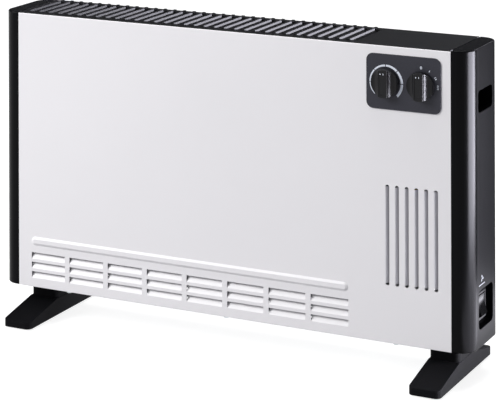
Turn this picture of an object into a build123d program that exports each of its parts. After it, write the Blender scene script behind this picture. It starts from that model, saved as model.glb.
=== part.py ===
from build123d import *
import os
from math import radians, sqrt, tan

# Free-standing convector heater, in millimetres. +Z is up, the front faces -Y, and the origin is on the
# floor under the middle of the heater.

# How far a cutter runs past a face, how deep fused shapes sink into each other, and the least allowance
over = 1.0
join = 0.5
hair = 0.02

# Body
body_width = 600.0
body_depth = 93.0
ground_clearance = 41.2
panel_height = 327.0
cap_width = 22.5
corner_radius = 19.0
sheet = 0.8
seam = 0.4
fold_radius = 0.7
top_fold = 9.0
bottom_fold = 12.0
side_fold = 10.0

# End caps and their recesses
cap_wall = 2.2
cap_edge_radius = 1.2
grip_length = 45.0
grip_height = 24.5
grip_drop = 57.7
grip_depth = 24.0
grip_corner = 5.0
switch_recess_length = 45.0
switch_recess_height = 43.0
switch_recess_level = 41.3
switch_recess_depth = 7.0
switch_recess_corner = 6.0
cap_boss_radius = 4.5
cap_screw_depth = 8.0
rear_tab = 12.0
rear_tab_depth = 8.0

# Horizontal louvres, lanced on three sides and bent inwards at their top
louvre_rows = 3
louvre_length = 46.2
louvre_height = 7.6
louvre_pitch_x = 52.6
louvre_pitch_z = 11.4
louvre_inset = 18.2
louvre_wall_gap = 10.0
louvre_level = 11.0
louvre_press = 4.2
lance_gap = 0.4

# Vertical slots in front of the fan, lanced and bent inwards at their right
slot_count = 6
slot_width = 4.7
slot_length = 110.8
slot_pitch = 11.5
slot_inset = 75.2
slot_level = 118.9
slot_press = 3.0

# Stiffening bead above the louvres
bead_height = 10.5
bead_rise = 1.4
bead_slope = 2.8
bead_level = 55.1

# Top grille
grille_rim = 1.0
blade_rise = 0.8
blade_pitch = 13.15
blade_top_width = 3.4
blade_drop = 10.0
blade_tilt = 48.0
grille_inset = 6.0
grille_wall_gap = 5.0
front_rail = 11.5
rear_rail = 11.5
grille_wall = 2.0
rim_inset = 0.3
front_tail = 2.0
plate_thickness = 2.2
seam_bevel = 0.8

# Control fascia
fascia_width = 88.5
fascia_height = 61.0
fascia_corner = 8.0
fascia_proud = 1.2
fascia_thickness = 1.9
fascia_drop = 39.1
fascia_side_room = 21.0
fascia_wall_gap = 0.45
fascia_lap = 2.8
fascia_edge_radius = 0.6
fascia_boss_radius = 3.6
fascia_boss_inset = 4.4
dial_spacing = 42.0
dial_drop = 1.1

# Knobs and shafts
knob_diameter = 32.0
knob_top_diameter = 31.0
knob_height = 9.0
knob_skirt = 2.6
knob_grip_width = 11.2
knob_panel_rim = 1.5
knob_panel_end = 3.0
knob_panel_depth = 0.5
knob_panel_corner = 0.8
knob_gap = 0.6
knob_edge_radius = 0.7
knob_rim = 1.6
shaft_diameter = 6.0
shaft_flat = 1.5
shaft_in_knob = 6.0
shaft_fit = 0.05
shaft_hole_gap = 0.5
shaft_tip_gap = 0.3
shaft_well = 12.0

# Bracket and controls behind the fascia
bracket_sheet = 1.2
bracket_set_back = 5.0
bracket_margin = 3.4
bracket_overhang = 1.0
control_neck_wall = 2.0
control_neck_proud = 1.2
control_screw_gap = 1.6
control_corner = 3.0
thermostat_size = 32.0
thermostat_depth = 19.0
selector_size = 34.0
selector_depth = 27.0
blade_terminal = 6.3
blade_terminal_length = 8.0
blade_terminal_thickness = 0.8
thermostat_terminal_x = (-9.0, 9.0)
selector_terminal_x = (-10.0, 0.0, 10.0)
selector_terminal_z = (-8.0, 8.0)

# Fan switch
switch_bezel_height = 31.0
switch_bezel_width = 25.0
switch_bezel_rise = 1.8
switch_body_margin = 1.8
switch_body_depth = 22.0
switch_centre_y = 1.5
bezel_edge_radius = 0.8
switch_terminal_z = (-8.0, 0.0, 8.0)
rocker_height = 26.0
rocker_width = 18.0
rocker_clearance = 0.35
rocker_proud = 2.6
rocker_radius = 40.0
rocker_throw = 16.0
rocker_pin = 3.0
rocker_pin_reach = 1.2
rocker_axis_depth = 5.0
rocker_back = 6.5
rocker_dish = 2.4
rocker_swing_gap = 0.95
rocker_end_gap = 0.8
rocker_well_depth = 9.0

# Inner walls
wall_sheet = 1.0
left_wall_inset = 15.5
wall_flange = 7.5
wall_tab = 14.0
wall_gap = 0.1
tray_sheet = 1.0
tray_lip = 8.0
shield_sheet = 0.6
shield_distance = 7.5
shield_level = 50.8
shield_drop = 26.2
shield_lip = 6.0
shield_tab = 16.0
shield_tab_inset = 30.0

# Intake slots of the base tray
tray_slot_width = 6.0
tray_slot_length = 26.0
tray_slot_pitch = 16.0
tray_slot_rows = 2
tray_slot_row_gap = 8.0

# Heating elements
element_levels = (35.8, 68.8)
element_end_gap = 16.0
fin_hub_diameter = 13.0
fin_reach = 30.0
fin_thickness = 1.8
fin_angle = 24.0
fin_notches = 9
fin_notch_width = 2.0
fin_notch_root = 1.5
fin_foot = 5.4
rod_diameter = 8.0
rod_fit = 0.05
rod_end = 12.0
stud_diameter = 4.0
stud_length = 11.0
bush_diameter = 12.0
bush_flange_diameter = 17.0
bush_flange = 3.5
bush_stand_out = 6.0

# Overheat cut-out
cutout_diameter = 15.0
cutout_height = 8.0
cutout_fan_gap = 9.0
cutout_stand_off = 22.0
cutout_tab = 14.0
cutout_step = 1.2

# Fan and motor
fan_element_gap = 0.5
fan_side_gap = 3.6
impeller_width = 13.0
impeller_hub = 20.0
impeller_gap = 2.0
impeller_wall_gap = 2.0
hub_nose_radius = 2.0
hub_nose_wall = 3.0
blade_root_chord = 14.0
blade_root_pitch = 48.0
blade_tip_chord = 25.0
blade_tip_pitch = 27.0
blade_thickness = 1.6
blade_edge = 0.7
blade_number = 5
shroud_wall = 2.0
shroud_flange = 5.0
shroud_depth = 17.0
shroud_flange_thickness = 1.5
motor_bracket_sheet = 1.5
motor_bracket_reach = 30.0
motor_bracket_width = 14.0
motor_bracket_gap = 1.0
motor_foot = 10.0
motor_core_width = 44.0
motor_core_height = 54.0
motor_core_thickness = 15.0
motor_bore = 24.0
core_below_bore = 6.5
core_above_bore = 7.0
motor_screw_margin = 3.6
rotor_gap = 0.4
rotor_end_gap = 1.0
fan_shaft_diameter = 3.2
fan_shaft_tail = 1.5
bearing_boss = 10.0
bearing_reach = 3.5
bearing_thickness = 4.0
bearing_arm = 9.0
bearing_arm_end = 6.4
bearing_collar = 2.0
boss_gap = 0.3
core_leg = 9.0
coil_build = 3.5
coil_gap = 0.3
coil_radius = 2.5

# Terminal block and cord gland
block_length = 40.0
block_width = 18.0
block_height = 14.0
block_poles = 3
block_well_radius = 2.4
block_well_depth = 4.0
pole_gap = 1.4
pole_gap_depth = 3.0
block_inset = 41.5
block_y = 18.0
gland_inset = 31.5
gland_level = 30.8
gland_diameter = 16.0
gland_bore = 7.6
gland_flange = 2.4
gland_body = 11.0
gland_lip = 2.2
gland_snap = 1.4
gland_snap_length = 3.4

# Feet
foot_width = 37.0
foot_length = 165.0
foot_inset = 0.5
foot_lift = 2.0
toe_height = 8.0
toe_corner = 6.5
neck_depth = 41.0
neck_base_z = 22.0
neck_corner = 6.0
neck_step = 0.6
foot_edge_radius = 0.8
foot_wall = 2.5
pad_diameter = 13.0
pad_thickness = 3.2
pad_inset = 13.0
pad_boss_wall = 1.6
pad_fit = 0.05
pad_edge_radius = 0.5

# Screws
base_screw_inset = 67.5
rear_screw_level = 16.8
rear_screw_drop = 16.2
rear_screw_inset = 7.0
cap_screw_level = 33.8
cap_screw_drop = 23.2
foot_screw_inset = 8.5
foot_screw_seat = 12.0
wall_screw_y = 28.0
screw_radius = 1.9
screw_head_radius = 3.5
screw_head_height = 2.0
small_screw_radius = 1.4
small_head_radius = 2.6
small_head_height = 1.6
screw_hole_gap = 0.25
screw_chamfer = 0.5
screw_tail = 1.5
bracket_screw_grip = 4.0
control_screw_grip = 5.0
head_gap = 0.5

# Places that follow from the sizes above: first the body, then what stands along it and up it
front = -body_depth / 2
rear = body_depth / 2
underside = ground_clearance
sheet_top = underside + panel_height
rim_top = sheet_top + grille_rim
blade_top = rim_top + blade_rise
cap_inner_x = body_width / 2 - cap_width
sheet_end_x = cap_inner_x - seam
tray_floor = underside + sheet
tray_top = tray_floor + tray_sheet
inner_half_depth = body_depth / 2 - sheet
wall_half_depth = inner_half_depth - wall_gap
wall_top = sheet_top - sheet - blade_drop - over
left_wall_x = -cap_inner_x + left_wall_inset
partition_x = cap_inner_x - fascia_width - fascia_side_room
fascia_left_x = partition_x + wall_sheet + wall_flange + fascia_wall_gap + bracket_overhang
fascia_centre_x = fascia_left_x + fascia_width / 2
fascia_centre_z = sheet_top - fascia_drop
fascia_front = front - fascia_proud
fascia_back = fascia_front + fascia_thickness
dial_x = (fascia_centre_x - dial_spacing / 2, fascia_centre_x + dial_spacing / 2)
dial_centre_z = fascia_centre_z - dial_drop
bracket_y = front + sheet + bracket_set_back
louvre_field_left = -cap_inner_x + louvre_inset
louvre_field_length = partition_x - louvre_wall_gap - louvre_field_left
louvre_columns = 1 + int((louvre_field_length - louvre_length) / louvre_pitch_x)
louvre_bottom_z = underside + louvre_level
vent_top = louvre_bottom_z + (louvre_rows - 1) * louvre_pitch_z + louvre_height
bead_centre_z = underside + bead_level
slot_first_x = cap_inner_x - slot_inset
slot_centre_z = underside + slot_level
grille_field_left = -cap_inner_x + grille_inset
blade_count = int((partition_x - grille_wall_gap - grille_field_left) / blade_pitch)
field_front = front + front_rail
field_rear = rear - rear_rail
field_right = grille_field_left + blade_count * blade_pitch
grip_centre_z = sheet_top - grip_drop
switch_recess_centre_z = underside + switch_recess_level
switch_floor_x = body_width / 2 - switch_recess_depth
bezel_x = switch_floor_x + switch_bezel_rise
shield_bottom = underside + shield_level
shield_top = sheet_top - shield_drop
element_z = tuple(underside + level for level in element_levels)
impeller_diameter = 2 * (wall_half_depth - fan_side_gap - shroud_flange - impeller_gap)
shroud_bore = impeller_diameter / 2 + impeller_gap
bracket_leg = shroud_bore + shroud_flange + motor_bracket_gap
bracket_end = bracket_leg + motor_bracket_sheet + motor_foot
fan_centre_z = element_z[-1] + bush_flange_diameter / 2 + fan_element_gap + bracket_end
cutout_z = fan_centre_z + bracket_end + cutout_fan_gap + cutout_tab / 2
block_x = cap_inner_x - block_inset
gland_x = cap_inner_x - gland_inset
gland_z = underside + gland_level
foot_outer_x = cap_inner_x - foot_inset
foot_centre_x = foot_outer_x - foot_width / 2
foot_top = tray_floor
base_screw_x = (-cap_inner_x + base_screw_inset, 0.0, cap_inner_x - base_screw_inset)
rear_screw_x = cap_inner_x - rear_screw_inset
rear_screw_low = underside + rear_screw_level
rear_screw_high = sheet_top - rear_screw_drop
rear_screw_z = (rear_screw_low, (rear_screw_low + rear_screw_high) / 2, rear_screw_high)
cap_screw_y = front + side_fold / 2 + over
cap_screw_z = (underside + cap_screw_level, sheet_top - cap_screw_drop)
wall_hole = small_screw_radius + wall_gap


def slab(x0, x1, y0, y1, z0, z1):
    """Rectangular block between two corners."""
    return Pos((x0 + x1) / 2, (y0 + y1) / 2, (z0 + z1) / 2) * Box(x1 - x0, y1 - y0, z1 - z0)


def round_x(radius, x0, x1, y, z):
    """Cylinder along X."""
    return Pos((x0 + x1) / 2, y, z) * Rot(0, 90, 0) * Cylinder(radius, x1 - x0)


def round_y(radius, x, y0, y1, z):
    """Cylinder along Y."""
    return Pos(x, (y0 + y1) / 2, z) * Rot(90, 0, 0) * Cylinder(radius, y1 - y0)


def round_z(radius, x, y, z0, z1):
    """Cylinder along Z."""
    return Pos(x, y, (z0 + z1) / 2) * Cylinder(radius, z1 - z0)


def window_y(x, z, width, height, corner, y0, y1):
    """Prism with rounded corners that runs from y0 to y1."""
    plane = Plane(origin=(x, y1, z), x_dir=(1, 0, 0), z_dir=(0, -1, 0))
    return extrude(plane * RectangleRounded(width, height, corner), amount=y1 - y0)


def window_x(y, z, width, height, corner, x0, x1):
    """Prism with rounded corners that runs from x0 to x1."""
    plane = Plane(origin=(x0, y, z), x_dir=(0, 1, 0), z_dir=(1, 0, 0))
    return extrude(plane * RectangleRounded(width, height, corner), amount=x1 - x0)


def prism_x(points, x0, x1):
    """Prism along X with its outline given as (y, z) points."""
    plane = Plane(origin=(x0, 0, 0), x_dir=(0, 1, 0), z_dir=(1, 0, 0))
    return extrude(plane * make_face(Polyline(*points, close=True)), amount=x1 - x0)


def prism_y(points, y0, y1):
    """Prism along Y with its outline given as (x, z) points."""
    plane = Plane(origin=(0, y1, 0), x_dir=(1, 0, 0), z_dir=(0, -1, 0))
    return extrude(plane * make_face(Polyline(*points, close=True)), amount=y1 - y0)


def prism_z(points, z0, z1):
    """Prism along Z with its outline given as (x, y) points."""
    face = Plane(origin=(0, 0, z0)) * make_face(Polyline(*points, close=True))
    return extrude(face, amount=z1 - z0)


def group(solids):
    """Like pieces kept as separate solids in one node."""
    return Compound(children=list(solids))


def screw(radius, length, head_radius, head_height):
    """Pan-head screw along +Z: the underside of the head is at z = 0 and the shank points down."""
    head = Pos(0, 0, head_height / 2) * Cylinder(head_radius, head_height)
    top_edge = head.edges().group_by(Axis.Z)[-1]
    head = chamfer(top_edge, screw_chamfer)
    return head + Pos(0, 0, -length / 2) * Cylinder(radius, length)


def large_screw(length):
    return screw(screw_radius, length, screw_head_radius, screw_head_height)


def small_screw(length):
    return screw(small_screw_radius, length, small_head_radius, small_head_height)


def folded_blank():
    """Sheet before it is cut: a wall folded over at its top and bottom, its outer face at the front."""
    u_top = front + top_fold
    u_bottom = front + bottom_fold
    inner = front + sheet
    points = [
        (front, underside),
        (u_bottom, underside),
        (u_bottom, underside + sheet),
        (inner, underside + sheet),
        (inner, sheet_top - sheet),
        (u_top, sheet_top - sheet),
        (u_top, sheet_top),
        (front, sheet_top),
    ]
    blank = prism_x(points, -sheet_end_x, sheet_end_x)
    folds = blank.edges().filter_by(Axis.X).group_by(Axis.Y)[0]
    return fillet(folds, fold_radius)


def side_folds():
    """Folds at both ends of the front sheet, drilled for the screws that hold the end caps."""
    bottom = underside + bottom_fold
    top = sheet_top - top_fold
    hole = screw_radius + screw_hole_gap
    folds = []
    for side in (-1, 1):
        x_low, x_high = sorted((side * (sheet_end_x - sheet), side * sheet_end_x))
        fold = slab(x_low, x_high, front + sheet / 2, front + side_fold, bottom, top)
        fold -= [round_x(hole, x_low - over, x_high + over, cap_screw_y, z) for z in cap_screw_z]
        folds.append(fold)
    return folds


def lance_row(x_left, z_bottom):
    """One horizontal louvre: the cut through the sheet and the blade that is bent inwards at its top."""
    x_right = x_left + louvre_length
    cut = slab(x_left, x_right, front - over, front + sheet + over, z_bottom, z_bottom + louvre_height)
    blade_height = sqrt(louvre_height**2 - louvre_press**2)
    points = [
        (front, z_bottom),
        (front + sheet, z_bottom),
        (front + sheet + louvre_press, z_bottom + blade_height),
        (front + louvre_press, z_bottom + blade_height),
    ]
    blade = prism_x(points, x_left + lance_gap, x_right - lance_gap)
    return cut, blade


def lance_column(x_centre):
    """One vertical slot with round ends: the cut and the blade that is bent inwards at its right."""
    x_left = x_centre - slot_width / 2
    radius = slot_width / 2 - hair
    y_end = front + sheet + over
    cut = window_y(x_centre, slot_centre_z, slot_width, slot_length, radius, front - over, y_end)
    blade_width = sqrt(slot_width**2 - slot_press**2)
    points = [
        (x_left, front),
        (x_left, front + sheet),
        (x_left + blade_width, front + sheet + slot_press),
        (x_left + blade_width, front + slot_press),
    ]
    half = slot_length / 2 - slot_width / 2
    blade = prism_z(points, slot_centre_z - half, slot_centre_z + half)
    return cut, blade


def louvre_places():
    for row in range(louvre_rows):
        for column in range(louvre_columns):
            x_left = louvre_field_left + column * louvre_pitch_x
            yield x_left, louvre_bottom_z + row * louvre_pitch_z


def vent_pattern():
    """All louvres and slots of a sheet."""
    pairs = [lance_row(x, z) for x, z in louvre_places()]
    pairs += [lance_column(slot_first_x + i * slot_pitch) for i in range(slot_count)]
    return [cut for cut, _ in pairs], [blade for _, blade in pairs]


def bead_form(inset, y_base):
    """Raised body of the pressed bead, drawn from the base plane outwards."""
    length = (louvre_columns - 1) * louvre_pitch_x + louvre_length
    x_centre = louvre_field_left + length / 2
    base = Plane(origin=(x_centre, y_base, bead_centre_z), x_dir=(1, 0, 0), z_dir=(0, -1, 0))
    wide = base * SlotOverall(length - 2 * inset, bead_height - 2 * inset)
    narrow_plane = base.offset(bead_rise)
    slope = bead_slope + inset
    narrow = narrow_plane * SlotOverall(length - 2 * slope, bead_height - 2 * slope)
    return loft([wide, narrow])


def front_panel():
    """Front sheet with its folds, vents and bead, and the opening behind the control fascia."""
    cuts, blades = vent_pattern()
    panel = folded_blank() + side_folds()
    panel += bead_form(0.0, front)
    panel -= bead_form(sheet, front + sheet)
    panel -= cuts
    panel -= window_y(
        fascia_centre_x,
        fascia_centre_z,
        fascia_width - 2 * fascia_lap,
        fascia_height - 2 * fascia_lap,
        fascia_corner - fascia_lap,
        front - over,
        front + sheet + over,
    )
    panel += blades
    return panel - base_screw_holes(-1)


def base_screw_holes(side):
    """Clearance holes in the bottom fold of a sheet."""
    hole = screw_radius + screw_hole_gap
    return [round_z(hole, x, y, underside - over, tray_floor + over) for x, y in base_screw_places(side)]


def base_screw_places(side):
    """Screws that go up through the bottom fold of a sheet (side -1 is the front) into the tray."""
    y = side * (body_depth / 2 - bottom_fold / 2)
    return [(x, y) for x in base_screw_x]


def rear_panel():
    """Same folded sheet turned to the back, with the same vents and the hole for the cord gland."""
    cuts, blades = vent_pattern()
    panel = folded_blank() - cuts
    panel += blades
    panel = mirror(panel, about=Plane.XZ)
    y0 = rear - sheet - over
    y1 = rear + over
    panel -= round_y(gland_diameter / 2, gland_x, y0, y1, gland_z)
    hole = screw_radius + screw_hole_gap
    panel -= [round_y(hole, side * rear_screw_x, y0, y1, z) for side in (-1, 1) for z in rear_screw_z]
    return panel - base_screw_holes(1)


def base_tray():
    """Tray between the folds of both sheets, with upturned lips and two rows of intake slots."""
    y = wall_half_depth
    lip_top = tray_floor + tray_lip
    points = [
        (-y, tray_floor),
        (y, tray_floor),
        (y, lip_top),
        (y - tray_sheet, lip_top),
        (y - tray_sheet, tray_top),
        (-y + tray_sheet, tray_top),
        (-y + tray_sheet, lip_top),
        (-y, lip_top),
    ]
    tray = prism_x(points, -sheet_end_x + sheet + seam, sheet_end_x - sheet - seam)
    first = left_wall_x + 2 * tray_slot_pitch
    count = int((partition_x - 2 * tray_slot_pitch - first) / tray_slot_pitch) + 1
    cuts = []
    for row in range(tray_slot_rows):
        y_centre = (row - (tray_slot_rows - 1) / 2) * (tray_slot_length + tray_slot_row_gap)
        y0 = y_centre - tray_slot_length / 2
        for i in range(count):
            x0 = first + i * tray_slot_pitch - tray_slot_width / 2
            x1 = x0 + tray_slot_width
            cuts.append(slab(x0, x1, y0, y0 + tray_slot_length, tray_floor - over, tray_top + over))
    tray -= cuts
    places = base_screw_places(-1) + base_screw_places(1)
    places += [(side * foot_centre_x, y_screw) for side in (-1, 1) for y_screw in foot_screw_y()]
    z0 = tray_floor - over
    z1 = tray_top + over
    tray -= [round_z(screw_radius + hair, x, y_screw, z0, z1) for x, y_screw in places]
    tray -= [round_z(small_screw_radius, x, y_screw, z0, z1) for x, y_screw in wall_screw_places()]
    return tray


def wall_screw_places():
    """Screws that go down through the bottom folds of both walls into the tray."""
    return [
        (x + wall_sheet + wall_flange / 2, y)
        for x in (left_wall_x, partition_x)
        for y in (-wall_screw_y, wall_screw_y)
    ]


def cap_outline(inset):
    """Plan of an end cap at the right-hand end, seen from above."""
    x_out = body_width / 2 - inset
    y_out = body_depth / 2 - inset
    radius = corner_radius - inset
    x_in = cap_inner_x - (over if inset else 0.0)
    half = radius / sqrt(2)
    front_mid = (x_out - radius + half, -y_out + radius - half)
    rear_mid = (x_out - radius + half, y_out - radius + half)
    lines = [
        Line((x_in, -y_out), (x_out - radius, -y_out)),
        ThreePointArc((x_out - radius, -y_out), front_mid, (x_out, -y_out + radius)),
        Line((x_out, -y_out + radius), (x_out, y_out - radius)),
        ThreePointArc((x_out, y_out - radius), rear_mid, (x_out - radius, y_out)),
        Line((x_out - radius, y_out), (x_in, y_out)),
        Line((x_in, y_out), (x_in, -y_out)),
    ]
    return make_face(lines)


def pocket(z_centre, length, height, corner, depth):
    """Recess in a cap's flat side: the block of its walls and the hollow."""
    x_out = body_width / 2
    x_floor = x_out - depth
    outer_length = length + 2 * cap_wall
    outer_height = height + 2 * cap_wall
    x_back = x_floor - cap_wall
    walls = window_x(0, z_centre, outer_length, outer_height, corner + cap_wall, x_back, x_out - join)
    hollow = window_x(0, z_centre, length, height, corner, x_floor, x_out + over)
    return walls, hollow


def switch_pocket():
    return pocket(
        switch_recess_centre_z,
        switch_recess_length,
        switch_recess_height,
        switch_recess_corner,
        switch_recess_depth,
    )


def switch_opening():
    """Hole in the floor of the switch recess for the switch's body."""
    half_width = switch_bezel_width / 2 - switch_body_margin
    half_height = switch_bezel_height / 2 - switch_body_margin
    y = switch_centre_y
    z = switch_recess_centre_z
    x0 = switch_floor_x - cap_wall - over
    x1 = switch_floor_x + over
    return slab(x0, x1, y - half_width, y + half_width, z - half_height, z + half_height)


def seam_groove(x_edge, side):
    """What comes off an upper edge beside the seam between the grille and a cap."""
    reach = seam_bevel + over
    points = [
        (x_edge - side * over, rim_top - reach),
        (x_edge + side * reach, rim_top + over),
        (x_edge - side * over, rim_top + over),
    ]
    return prism_y(points, front - over, rear + over)


def end_cap(with_switch):
    """Hollow moulding at the right-hand end, open towards the body."""
    outer = extrude(Plane(origin=(0, 0, underside)) * cap_outline(0.0), amount=rim_top - underside)
    rims = outer.edges().group_by(Axis.Z)[-1] + outer.edges().group_by(Axis.Z)[0]
    rims = [edge for edge in rims if edge.center().X > cap_inner_x + hair]
    outer = fillet(rims, cap_edge_radius) - seam_groove(cap_inner_x, 1)
    height = rim_top - underside - 2 * cap_wall
    shell = outer - extrude(Plane(origin=(0, 0, underside + cap_wall)) * cap_outline(cap_wall), amount=height)
    walls, hollow = pocket(grip_centre_z, grip_length, grip_height, grip_corner, grip_depth)
    shell += walls
    shell -= hollow
    if with_switch:
        walls, hollow = switch_pocket()
        shell += walls
        shell -= hollow
        shell -= switch_opening()
    within = outer + slab(sheet_end_x, cap_inner_x, front, rear, underside, rim_top)
    x_boss = body_width / 2 - corner_radius / 2
    for z in cap_screw_z:
        shell += within & round_x(cap_boss_radius, sheet_end_x, x_boss, cap_screw_y, z)
        shell -= round_x(screw_radius, sheet_end_x - over, cap_inner_x + cap_screw_depth, cap_screw_y, z)
    y_tab = rear - sheet - wall_gap
    x_tab = rear_screw_x - rear_tab / 2
    x_root = cap_inner_x + cap_wall
    for z in rear_screw_z:
        z0 = z - rear_tab / 2
        z1 = z + rear_tab / 2
        shell += slab(x_tab, x_root, y_tab - rear_tab_depth, y_tab, z0, z1)
        shell += slab(cap_inner_x, x_root, y_tab - over, rear - over, z0, z1)
        shell -= round_y(screw_radius, rear_screw_x, y_tab - rear_tab_depth + over, rear, z)
    return shell


def right_end_cap():
    return end_cap(True)


def left_end_cap():
    return mirror(end_cap(False), about=Plane.YZ)


def grille_blade(x_left):
    """Inclined blade that leans to the left at its top, cut off level above and below."""
    run = blade_drop / tan(radians(blade_tilt))
    points = [
        (x_left, blade_top),
        (x_left + blade_top_width, blade_top),
        (x_left + blade_top_width + run, blade_top - blade_drop),
        (x_left + run, blade_top - blade_drop),
    ]
    return prism_y(points, field_front, field_rear)


def top_grille():
    """One moulding: rim plate on the folds of both sheets, a walled field of blades and a solid plate."""
    y_rim = body_depth / 2 - fold_radius - rim_inset
    y_plate = body_depth / 2 - top_fold - wall_gap
    y0 = field_front - grille_wall
    y1 = field_rear + grille_wall
    wall_bottom = blade_top - blade_drop
    grille = slab(-sheet_end_x, sheet_end_x, -y_rim, y_rim, sheet_top, rim_top)
    grille -= [seam_groove(sheet_end_x, -1), seam_groove(-sheet_end_x, 1)]
    grille += slab(field_right, sheet_end_x, -y_plate, y_plate, rim_top - plate_thickness, rim_top)
    grille += slab(grille_field_left - grille_wall, field_right + grille_wall, y0, y1, wall_bottom, rim_top)
    x0 = grille_field_left
    grille -= slab(x0, field_right, field_front, field_rear, wall_bottom - over, rim_top + over)
    inside = slab(x0, field_right, field_front, field_rear, wall_bottom, blade_top)
    blade_left = [grille_field_left + i * blade_pitch for i in range(blade_count)]
    grille += [grille_blade(x) & inside for x in blade_left]
    for x in blade_left:
        x1 = x + blade_top_width
        grille += slab(x, x1, field_rear - join, y_rim, rim_top - join, blade_top)
        grille += slab(x, x1, field_front - front_tail, field_front + join, rim_top - join, blade_top)
    return grille


def control_panel():
    """Fascia that laps over the edge of the opening, with bosses for the bracket behind it."""
    x = fascia_centre_x
    z = fascia_centre_z
    plate = window_y(x, z, fascia_width, fascia_height, fascia_corner, fascia_front, front)
    plate = fillet(plate.edges().group_by(Axis.Y)[0], fascia_edge_radius)
    lap = fascia_lap + wall_gap
    plate += window_y(
        x, z, fascia_width - 2 * lap, fascia_height - 2 * lap, fascia_corner - lap, front - join, fascia_back
    )
    for x_screw, z_screw in bracket_screw_places():
        plate += round_y(fascia_boss_radius, x_screw, fascia_back - join, bracket_y, z_screw)
        plate -= round_y(small_screw_radius, x_screw, fascia_back + join, bracket_y + over, z_screw)
    hole = shaft_diameter / 2 + shaft_hole_gap
    y0 = fascia_front - over
    y1 = fascia_back + over
    return plate - [round_y(hole, x_dial, y0, y1, dial_centre_z) for x_dial in dial_x]


def bracket_screw_places():
    """Four corners where the bracket is screwed to the fascia's bosses."""
    dx = fascia_width / 2 - fascia_lap - fascia_boss_inset
    dz = fascia_height / 2 - fascia_lap - fascia_boss_inset
    return [(fascia_centre_x + sx * dx, fascia_centre_z + sz * dz) for sx in (-1, 1) for sz in (-1, 1)]


def control_bracket():
    """Steel channel behind the fascia: its web holds the controls and its folds clamp the sheet."""
    half_width = fascia_width / 2 + bracket_overhang
    half_height = fascia_height / 2 + bracket_margin
    y_fold = front + sheet
    y_back = bracket_y + bracket_sheet
    z0 = fascia_centre_z - half_height
    z1 = fascia_centre_z + half_height
    points = [
        (y_fold, z0),
        (y_back, z0),
        (y_back, z1),
        (y_fold, z1),
        (y_fold, z1 - bracket_sheet),
        (bracket_y, z1 - bracket_sheet),
        (bracket_y, z0 + bracket_sheet),
        (y_fold, z0 + bracket_sheet),
    ]
    bracket = prism_x(points, fascia_centre_x - half_width, fascia_centre_x + half_width)
    y0 = bracket_y - over
    y1 = y_back + over
    places = bracket_screw_places() + [(x, z) for x in dial_x for z in control_screw_z()]
    bracket -= [round_y(small_screw_radius + screw_hole_gap, x, y0, y1, z) for x, z in places]
    return bracket - [round_y(control_neck_radius() + wall_gap, x, y0, y1, dial_centre_z) for x in dial_x]


def control_neck_radius():
    return shaft_diameter / 2 + control_neck_wall


def control_screw_z():
    """Heights of the two screws that hold each control to the bracket."""
    offset = control_neck_radius() + small_head_radius + control_screw_gap
    return dial_centre_z - offset, dial_centre_z + offset


def control_body(x, size, depth, terminals):
    """Switch or thermostat body with a round neck in the bracket and blade terminals at its back."""
    y0 = bracket_y + bracket_sheet
    y1 = y0 + depth
    body = window_y(x, dial_centre_z, size, size, control_corner, y0, y1)
    y_neck = bracket_y - control_neck_proud
    body += round_y(control_neck_radius(), x, y_neck, y0 + join, dial_centre_z)
    body -= round_y(shaft_diameter / 2 + shaft_fit, x, y_neck - over, y0 + shaft_well, dial_centre_z)
    for z in control_screw_z():
        body -= round_y(small_screw_radius, x, y0 - over, y0 + control_screw_grip + over, z)
    for dx, dz in terminals:
        x0 = x + dx - blade_terminal_thickness / 2
        z0 = dial_centre_z + dz - blade_terminal / 2
        x1 = x0 + blade_terminal_thickness
        body += slab(x0, x1, y1 - join, y1 + blade_terminal_length, z0, z0 + blade_terminal)
    return body


def thermostat():
    terminals = [(dx, 0.0) for dx in thermostat_terminal_x]
    return control_body(dial_x[0], thermostat_size, thermostat_depth, terminals)


def selector_switch():
    terminals = [(dx, dz) for dx in selector_terminal_x for dz in selector_terminal_z]
    return control_body(dial_x[1], selector_size, selector_depth, terminals)


def dial_shaft(x):
    """Round shaft with a flat over the length that sits in the knob."""
    y_tip = knob_base_y() - shaft_in_knob
    y_end = bracket_y + bracket_sheet + shaft_well - over
    shaft = round_y(shaft_diameter / 2, x, y_tip, y_end, dial_centre_z)
    flat_z = dial_centre_z + shaft_diameter / 2 - shaft_flat
    half = shaft_diameter
    shaft -= slab(x - half, x + half, y_tip - over, knob_base_y(), flat_z, flat_z + half)
    return shaft


def knob_base_y():
    return fascia_front - knob_gap


def dial_knob(x):
    """Knob turned as a shallow cone, scooped on both sides so that a grip bar is left across it."""
    y_base = knob_base_y()
    y_top = y_base - knob_height
    outline = [
        (0, y_base),
        (knob_diameter / 2, y_base),
        (knob_diameter / 2, y_base - knob_rim),
        (knob_top_diameter / 2, y_top),
        (0, y_top),
    ]
    half = make_face(Polyline(*outline, close=True))
    knob = revolve(half, axis=Axis.Y)
    scoop_height = knob_height - knob_skirt
    scoop_centre = knob_grip_width / 2 + scoop_height
    for side in (-1, 1):
        knob -= round_z(scoop_height, side * scoop_centre, y_top, -knob_diameter, knob_diameter)
    grip_edges = knob.edges().group_by(Axis.Y)[0]
    knob = fillet(grip_edges, knob_edge_radius)
    panel_width = knob_grip_width - 2 * knob_panel_rim
    panel_length = knob_top_diameter - 2 * knob_panel_end
    knob -= window_y(0, 0, panel_width, panel_length, knob_panel_corner, y_top - over, y_top + knob_panel_depth)
    y_tip = y_base - shaft_in_knob - shaft_tip_gap
    bore = round_y(shaft_diameter / 2 + shaft_fit, 0, y_tip, y_base + over, 0)
    flat_z = shaft_diameter / 2 - shaft_flat + shaft_fit
    half = shaft_diameter
    bore -= slab(-half, half, y_tip - over, y_base + 2 * over, flat_z, flat_z + half)
    return Pos(x, 0, dial_centre_z) * (knob - bore)


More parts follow.
